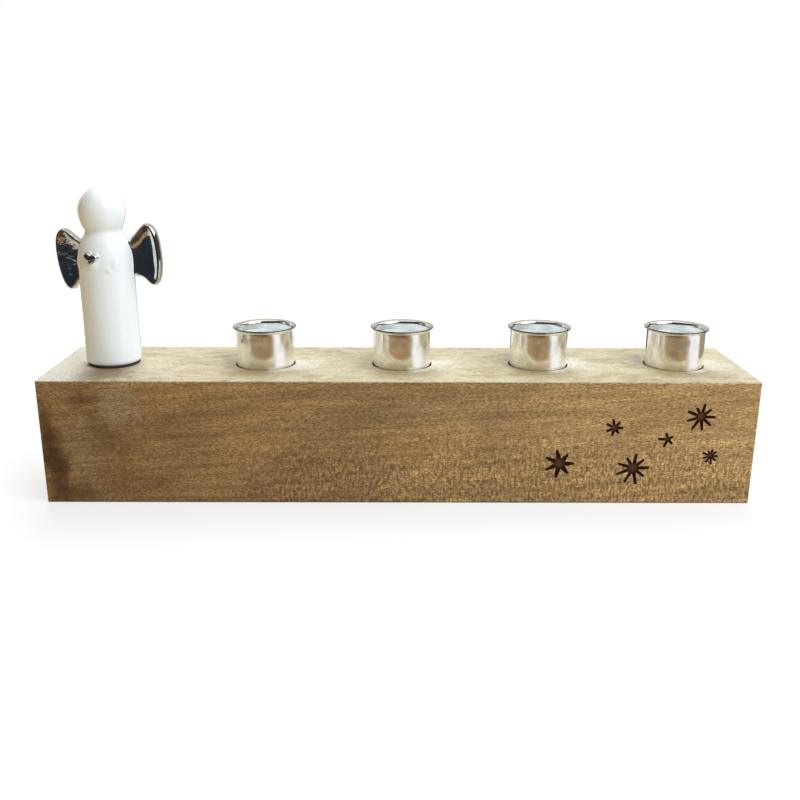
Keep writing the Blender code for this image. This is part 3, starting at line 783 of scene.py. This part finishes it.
def make_heart():
    """A puffed heart: its outline raised from within the breast, then domed in steps."""
    shape = bmesh.new()
    face = shape.faces.new([shape.verts.new((across, 0.0, up)) for across, up in heart_outline()])
    wall = HEART_ROOT + HEART_PROUD - HEART_PUFF
    size = 1.0
    depth = 0.0
    for step in range(HEART_DOME_STEPS + 1):
        angle = HEART_DOME_ANGLE * step / HEART_DOME_STEPS
        next_size = math.cos(angle)
        next_depth = wall + HEART_PUFF * math.sin(angle) / math.sin(HEART_DOME_ANGLE)
        raised = bmesh.ops.extrude_face_region(shape, geom=[face])
        moved = [item for item in raised["geom"] if isinstance(item, bmesh.types.BMVert)]
        if step > 0:
            bmesh.ops.delete(shape, geom=[face], context="FACES_ONLY")
        face = [item for item in raised["geom"] if isinstance(item, bmesh.types.BMFace)][0]
        ratio = next_size / size
        bmesh.ops.scale(shape, vec=(ratio, 1.0, ratio), verts=moved)
        bmesh.ops.translate(shape, vec=(0.0, depth - next_depth, 0.0), verts=moved)
        size = next_size
        depth = next_depth
    bmesh.ops.recalc_face_normals(shape, faces=shape.faces)
    bmesh.ops.transform(shape, matrix=heart_place(), verts=shape.verts)
    return new_object("heart", shape)


def make_limb(start, end):
    along = end - start
    half_long = along.length / 2.0 + ARM_END_REACH
    shape = bmesh.new()
    bmesh.ops.create_uvsphere(shape, u_segments=ARM_SEGMENTS, v_segments=ARM_SEGMENTS // 2,
                              radius=1.0)
    bmesh.ops.scale(shape, vec=(ARM_RADIUS, ARM_RADIUS, half_long), verts=shape.verts)
    turn = along.to_track_quat("Z", "Y").to_matrix().to_4x4()
    bmesh.ops.transform(shape, matrix=Matrix.Translation((start + end) / 2.0) @ turn,
                        verts=shape.verts)
    return new_object("limb", shape)


def make_hands():
    half_deep = HANDS_WIDTH / 2.0
    shape = bmesh.new()
    bmesh.ops.create_uvsphere(shape, u_segments=ARM_SEGMENTS, v_segments=ARM_SEGMENTS // 2,
                              radius=1.0)
    bmesh.ops.scale(shape, vec=(HANDS_WIDTH / 2.0, half_deep, HANDS_TALL / 2.0),
                    verts=shape.verts)
    place = on_breast(HEART_AROUND, HANDS_RISE, half_deep - HANDS_PROUD)
    bmesh.ops.translate(shape, vec=place, verts=shape.verts)
    return new_object("hands", shape)


def outline_distance(point, outline):
    """Distance from a point to a closed outline, positive inside it."""
    nearest = 1.0
    inside = False
    x, y = point
    for (ax, ay), (bx, by) in zip(outline, outline[1:] + outline[:1]):
        dx, dy = bx - ax, by - ay
        span = max(dx * dx + dy * dy, 1e-18)
        share = max(0.0, min(1.0, ((x - ax) * dx + (y - ay) * dy) / span))
        nearest = min(nearest, math.hypot(x - ax - share * dx, y - ay - share * dy))
        if (ay > y) != (by > y) and x < ax + (y - ay) * dx / dy:
            inside = not inside
    return nearest if inside else -nearest


def lustre_distance(point, outline, to_heart):
    """How far inside the silver lustre a point of the untouched casting lies, in millimetres."""
    out = math.hypot(point.x, point.y) - skin_radius(point.z) - LUSTRE_WING_MARGIN
    wing = min(out, point.y - LUSTRE_WING_FRONT)
    if abs(point.z - SHOULDER_HEIGHT) > LUSTRE_WING_REACH:
        wing = -1.0
    heart = -1.0
    local = to_heart @ point
    if local.y < HEART_ROOT and abs(local.z) < HEART_TALL:
        heart = outline_distance((local.x, local.z), outline) + LUSTRE_HEART_MARGIN
    return max(wing, heart, -0.001) * 1000.0


def make_figure(material):
    """Body, sleeves, hands, wings and heart under one smooth skin, as one casting."""
    shape = spun_shape(figure_profile(), FIGURE_SPIN_STEPS)
    figure = new_object("glazed_angel", shape)
    pieces = [make_wing(1), make_wing(-1), make_heart(), make_hands()]
    depth = ARM_RADIUS - ARM_PROUD
    for side in (1, -1):
        shoulder = on_breast(side * SLEEVE_TOP_ANGLE, SLEEVE_TOP_RISE, depth)
        elbow = on_breast(side * ELBOW_ANGLE, ELBOW_RISE, depth)
        wrist = on_breast(side * WRIST_ANGLE, WRIST_RISE, depth)
        pieces += [make_limb(shoulder, elbow), make_limb(elbow, wrist)]
    joined = bmesh.new()
    joined.from_mesh(figure.data)
    for piece in pieces:
        joined.from_mesh(piece.data)
        bpy.data.objects.remove(piece, do_unlink=True)
    joined.to_mesh(figure.data)
    joined.free()
    skin = figure.modifiers.new("skin", "REMESH")
    skin.mode = "VOXEL"
    skin.voxel_size = FIGURE_VOXEL
    smooth = figure.modifiers.new("smooth", "SMOOTH")
    smooth.factor = 0.5
    smooth.iterations = FIGURE_SMOOTH_ROUNDS
    bake_modifiers(figure)

    outline = heart_outline()
    to_heart = heart_place().inverted()
    values = [lustre_distance(vert.co, outline, to_heart) for vert in figure.data.vertices]
    attribute = figure.data.attributes.new(LUSTRE_ATTRIBUTE, "FLOAT", "POINT")
    attribute.data.foreach_set("value", values)
    turn = Matrix.Rotation(FIGURE_TURN, 4, "Z")
    figure.data.transform(Matrix.Translation(FIGURE_PLACE) @ turn)
    figure.data.shade_smooth()
    figure.data.materials.clear()
    figure.data.materials.append(material)
    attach(figure, BODY)
    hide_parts("angel_figure")


def porcelain_material():
    """White glaze, with silver lustre where the attribute says so."""
    material, tree, shader = new_material("porcelain_with_lustre")
    place = object_place(tree)
    distance = add_node(tree, "ShaderNodeAttribute", attribute_name=LUSTRE_ATTRIBUTE).outputs["Fac"]
    ragged = ramp(tree, noise(tree, place, 1400.0, 2.0, 0.6), 0.2, 0.8, -0.08, 0.08)
    lustre = ramp(tree, calculate(tree, "ADD", distance, ragged), -0.03, 0.05)
    pool = noise(tree, place, 90.0, 3.0, 0.5)
    glaze = mix_colour(tree, ramp(tree, pool, 0.3, 0.7), GLAZE_WHITE, GLAZE_POOLED)
    tarnish = noise(tree, place, 320.0, 3.0, 0.6, 0.6)
    silver = mix_colour(tree, ramp(tree, tarnish, 0.35, 0.7), LUSTRE_BRIGHT, LUSTRE_TARNISHED)
    tree.links.new(mix_colour(tree, lustre, glaze, silver), shader.inputs["Base Color"])
    tree.links.new(lustre, shader.inputs["Metallic"])
    gloss = ramp(tree, pool, 0.3, 0.7, 0.07, 0.12)
    tree.links.new(gloss, shader.inputs["Roughness"])
    ripple = noise(tree, place, 240.0, 2.0, 0.5)
    surface = relief(tree, ripple, 0.00012, 0.25)
    axis = add_node(tree, "ShaderNodeSeparateXYZ", {"Vector": place}).outputs
    left_wing = ramp(tree, axis["X"], FIGURE_PLACE.x - BODY_RADIUS, FIGURE_PLACE.x, 1.0, 0.12)
    wobble = calculate(tree, "MULTIPLY", noise(tree, place, 300.0, 2.0, 0.6, 0.6), left_wing)
    wobble = calculate(tree, "MULTIPLY", wobble, lustre)
    surface = relief(tree, wobble, 0.0005, 0.55, under=surface)
    tree.links.new(surface, shader.inputs["Normal"])
    return material


# Studio: floor, world, dome and cards for the reflections, lamps and camera

FLOOR_RADIUS = 3.0
FLOOR_SEGMENTS = 96
FLOOR_FADE_START = 0.30
FLOOR_FADE_END = 0.75
FLOOR_NEAR_WHITE = 0.62
FLOOR_WHITE = (0.93, 0.93, 0.93, 1.0)
FLOOR_BOUNCE_LEFT = (0.62, 0.47, 0.22, 1.0)
FLOOR_BOUNCE_RIGHT = (0.62, 0.60, 0.54, 1.0)
FLOOR_TURNS_FROM = -0.17
FLOOR_TURNS_TO = -0.07
FLOOR_DROP = 0.00005
WORLD_LEFT = (0.26, 0.165, 0.010, 1.0)
WORLD_RIGHT = (0.74, 0.85, 1.00, 1.0)
WORLD_TURNS_FROM = -0.55
WORLD_TURNS_TO = 0.30
DOME_RADIUS = 1.5
DOME_SEGMENTS = 96

# What the gloss sees of the room, on a dome round the object: azimuth from straight
# ahead of the front towards the right, and height above the horizon, each from and
# to with its soft edge, all in degrees, and the colour. The rest of the dome is white.
DOME_AREAS = (
    ("sky behind", 125.0, 235.0, 20.0, -10.0, 84.0, 6.0, (0.600, 0.580, 0.510, 1.0)),
    ("back wall", 172.0, 198.0, 6.0, -28.0, 9.0, 3.0, (0.120, 0.110, 0.090, 1.0)),
    ("right wall low", 90.0, 150.0, 10.0, -90.0, -5.0, 1.5, (0.360, 0.310, 0.220, 1.0)),
    ("right wall", 44.0, 130.0, 8.0, -5.0, 26.0, 1.5, (0.060, 0.050, 0.038, 1.0)),
    ("left wall low", -132.0, -66.0, 18.0, -90.0, -5.0, 1.5, (0.500, 0.460, 0.315, 1.0)),
    ("left wall", -120.0, -60.0, 6.0, -5.0, 26.0, 1.5, (0.070, 0.062, 0.048, 1.0)),
    ("table", -58.0, 40.0, 22.0, -90.0, -10.0, 1.5, (0.440, 0.275, 0.095, 1.0)),
    ("table in shadow", -22.0, 22.0, 26.0, -90.0, -13.2, 1.0, (0.110, 0.078, 0.064, 1.0)),
    ("room", -80.0, 46.0, 4.0, -9.7, 31.0, 1.0, (0.022, 0.030, 0.042, 1.0)),
    ("beam", -130.0, 50.0, 6.0, 30.0, 60.0, 3.0, (0.060, 0.060, 0.040, 1.0)),
    ("table close by", -62.0, -18.0, 12.0, -90.0, -15.2, 0.8, (0.055, 0.050, 0.030, 1.0)),
)

# Glowing white cards by the cups' feet, no lamps, that only reflections see: they carry the bright
# streak on each cup down to the wood. Directions are azimuths in degrees.
GLEAM_FROM = 38.0
GLEAM_TO = 99.0
GLEAM_STEPS = 8
GLEAM_SOFT_SIDE = 0.3
GLEAM_SOFT_TOP = 0.6
GLEAM_ATTRIBUTE = "gleam"
GLEAM_DISTANCE = 0.0030
GLEAM_HEIGHT = 0.0120
GLEAM_ABOVE_WOOD = 0.0002

# Lamps: place, aim, size across, power, colour, and whether the gloss shows them
LAMPS = {
    "key_lamp": ((0.60, -0.45, 0.75), (0.0, 0.0, 0.06), 0.90, 6.5, (0.96, 0.99, 1.0), True),
    "back_lamp": ((-0.05, 0.60, 0.85), (0.0, 0.0, 0.05), 1.00, 9.0, (1.0, 0.98, 0.94), False),
}


def floor_material():
    """White paper that keeps the shadow near the object and fades to the background's white."""
    material, tree, shader = new_material("paper_floor")
    place = object_place(tree)
    length = add_node(tree, "ShaderNodeVectorMath", {0: place}, operation="LENGTH")
    fade = ramp(tree, length.outputs["Value"], FLOOR_FADE_START, FLOOR_FADE_END,
                FLOOR_NEAR_WHITE, 1.0)
    axis = add_node(tree, "ShaderNodeSeparateXYZ", {"Vector": place}).outputs
    side = ramp(tree, axis["X"], FLOOR_TURNS_FROM, FLOOR_TURNS_TO)
    bounce = mix_colour(tree, side, FLOOR_BOUNCE_LEFT, FLOOR_BOUNCE_RIGHT)
    seen = seen_directly(tree)
    share = calculate(tree, "MULTIPLY", fade, seen)
    tree.links.new(mix_colour(tree, seen, bounce, FLOOR_WHITE), shader.inputs["Base Color"])
    shader.inputs["Roughness"].default_value = 0.9
    shader.inputs["Specular IOR Level"].default_value = 0.0
    glow = add_node(tree, "ShaderNodeEmission", {"Color": WHITE, "Strength": 1.0})
    blend = add_node(tree, "ShaderNodeMixShader",
                     {0: share, 1: shader.outputs[0], 2: glow.outputs[0]})
    tree.links.new(blend.outputs[0], tree.nodes["Material Output"].inputs["Surface"])
    return material


def seen_directly(tree):
    """1 for camera, glossy and transmission rays, and 0 for diffuse ones."""
    path = add_node(tree, "ShaderNodeLightPath").outputs
    seen = calculate(tree, "MAXIMUM", path["Is Camera Ray"], path["Is Glossy Ray"])
    return calculate(tree, "MAXIMUM", seen, path["Is Transmission Ray"])


def make_floor():
    shape = bmesh.new()
    bmesh.ops.create_circle(shape, cap_ends=True, segments=FLOOR_SEGMENTS, radius=FLOOR_RADIUS)
    bmesh.ops.translate(shape, vec=(0.0, 0.0, cad_box[0].z - FLOOR_DROP), verts=shape.verts)
    floor = new_object("floor", shape)
    floor.data.materials.append(floor_material())
    floor.visible_glossy = False


def make_world():
    world = bpy.data.worlds.new("studio")
    bpy.context.scene.world = world
    world.use_nodes = True
    tree = world.node_tree
    direction = add_node(tree, "ShaderNodeTexCoord").outputs["Generated"]
    axis = add_node(tree, "ShaderNodeSeparateXYZ", {"Vector": direction}).outputs
    side = ramp(tree, axis["X"], WORLD_TURNS_FROM, WORLD_TURNS_TO)
    light = mix_colour(tree, side, WORLD_LEFT, WORLD_RIGHT)
    colour = mix_colour(tree, seen_directly(tree), light, WHITE)
    tree.links.new(colour, tree.nodes["Background"].inputs["Color"])


def dome_material():
    material, tree, _ = new_material("studio_dome")
    axis = add_node(tree, "ShaderNodeSeparateXYZ", {"Vector": object_place(tree)}).outputs
    front = calculate(tree, "MULTIPLY", axis["Y"], -1.0)
    azimuth = calculate(tree, "DEGREES", calculate(tree, "ARCTAN2", axis["X"], front))
    behind = calculate(tree, "MULTIPLY", calculate(tree, "LESS_THAN", azimuth, -135.0), 360.0)
    wrapped = calculate(tree, "ADD", azimuth, behind)
    rise = calculate(tree, "DIVIDE", axis["Z"], DOME_RADIUS)
    height = calculate(tree, "DEGREES", calculate(tree, "ARCSINE", rise))
    colour = WHITE
    for _, left, right, side_soft, bottom, top, edge_soft, shade in DOME_AREAS:
        turn = wrapped if right > 180.0 else azimuth
        share = calculate(tree, "MULTIPLY", between(tree, turn, left, right, side_soft),
                          between(tree, height, bottom, top, edge_soft))
        colour = mix_colour(tree, share, colour, shade)
    glow = add_node(tree, "ShaderNodeEmission", {"Color": colour, "Strength": 1.0})
    tree.links.new(glow.outputs[0], tree.nodes["Material Output"].inputs["Surface"])
    return material


def stage_for_reflections(piece):
    """A stage piece that nothing but glossy rays sees."""
    piece.visible_camera = False
    piece.visible_diffuse = False
    piece.visible_shadow = False
    piece.visible_transmission = False


def make_dome():
    """A dome that only reflections see, so that the metal has a room to show."""
    shape = bmesh.new()
    bmesh.ops.create_uvsphere(shape, u_segments=DOME_SEGMENTS, v_segments=DOME_SEGMENTS // 2,
                              radius=DOME_RADIUS)
    dome = new_object("studio_dome", shape)
    dome.data.materials.append(dome_material())
    stage_for_reflections(dome)


def gleam_material():
    """White light that fades out towards the card's sides and top."""
    material, tree, _ = new_material("gleam_card")
    share = add_node(tree, "ShaderNodeAttribute", attribute_name=GLEAM_ATTRIBUTE).outputs["Fac"]
    glow = add_node(tree, "ShaderNodeEmission", {"Color": WHITE, "Strength": 1.0})
    clear = add_node(tree, "ShaderNodeBsdfTransparent")
    blend = add_node(tree, "ShaderNodeMixShader", {0: share, 1: clear.outputs[0], 2: glow.outputs[0]})
    tree.links.new(blend.outputs[0], tree.nodes["Material Output"].inputs["Surface"])
    return material


def make_gleam_card(node, material):
    """A small curved glowing card beside one cup, standing where the streak's rays go."""
    low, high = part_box(node)
    centre = (low + high) / 2.0
    outer = (high.x - low.x) / 2.0 - CUP_LIP_REACH
    to_camera = math.atan2(CAMERA_PLACE[0] - centre.x, centre.y - CAMERA_PLACE[1])
    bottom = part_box("wood_block")[1].z + GLEAM_ABOVE_WOOD
    rows = ((0.0, 1.0), (1.0 - GLEAM_SOFT_TOP, 1.0), (1.0, 0.0))
    shape = bmesh.new()
    layer = shape.verts.layers.float.new(GLEAM_ATTRIBUTE)
    columns = []
    for step in range(GLEAM_STEPS + 1):
        along = step / GLEAM_STEPS
        away = math.radians(GLEAM_FROM + (GLEAM_TO - GLEAM_FROM) * along)
        facing = (away + to_camera) / 2.0
        x = centre.x + outer * math.sin(facing) + GLEAM_DISTANCE * math.sin(away)
        y = centre.y - outer * math.cos(facing) - GLEAM_DISTANCE * math.cos(away)
        side = min(along, 1.0 - along, GLEAM_SOFT_SIDE) / GLEAM_SOFT_SIDE
        column = []
        for rise, strength in rows:
            vert = shape.verts.new((x, y, bottom + GLEAM_HEIGHT * rise))
            vert[layer] = strength * side
            column.append(vert)
        columns.append(column)
    for first, second in zip(columns, columns[1:]):
        for row in range(len(rows) - 1):
            shape.faces.new((first[row], second[row], second[row + 1], first[row + 1]))
    card = new_object(f"gleam_card_{node[-1]}", shape)
    card.data.materials.append(material)
    stage_for_reflections(card)


def make_lamp(name, place, aim, size, power, colour, in_gloss):
    data = bpy.data.lights.new(name, "AREA")
    data.shape = "DISK"
    data.size = size
    data.energy = power
    data.color = colour
    lamp = bpy.data.objects.new(name, data)
    bpy.context.scene.collection.objects.link(lamp)
    lamp.location = place
    lamp.visible_glossy = in_gloss
    lamp.rotation_euler = (Vector(aim) - Vector(place)).to_track_quat("-Z", "Y").to_euler()


def make_camera():
    data = bpy.data.cameras.new("camera")
    data.sensor_width = CAMERA_SENSOR_MM
    data.lens = CAMERA_LENS_MM
    data.clip_start = CAMERA_NEAR
    data.clip_end = CAMERA_FAR
    camera = bpy.data.objects.new("camera", data)
    bpy.context.scene.collection.objects.link(camera)
    level = Matrix.Rotation(math.pi / 2.0 - CAMERA_TILT_DOWN, 4, "X")
    turned = Matrix.Rotation(CAMERA_TURN, 4, "Z") @ level @ Matrix.Rotation(CAMERA_ROLL, 4, "Z")
    camera.matrix_world = Matrix.Translation(CAMERA_PLACE) @ turned
    bpy.context.scene.camera = camera


def dress_block(material):
    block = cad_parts["wood_block"]
    block.data.materials.clear()
    block.data.materials.append(material)


bpy.context.scene.view_settings.view_transform = "Standard"
make_camera()
make_world()
make_floor()
make_dome()
card_white = gleam_material()
for cup_node in CUP_NODES:
    make_gleam_card(cup_node, card_white)
for lamp_name, lamp in LAMPS.items():
    make_lamp(lamp_name, *lamp)
dress_block(wood_material())
plate = cup_material()
plate_inside = cup_inside_material()
plate_edge = cup_edge_material()
for cup_number, cup_node in enumerate(CUP_NODES, start=1):
    make_cup(cup_node, cup_number, plate, plate_inside, plate_edge)
make_pad(felt_material())
make_figure(porcelain_material())
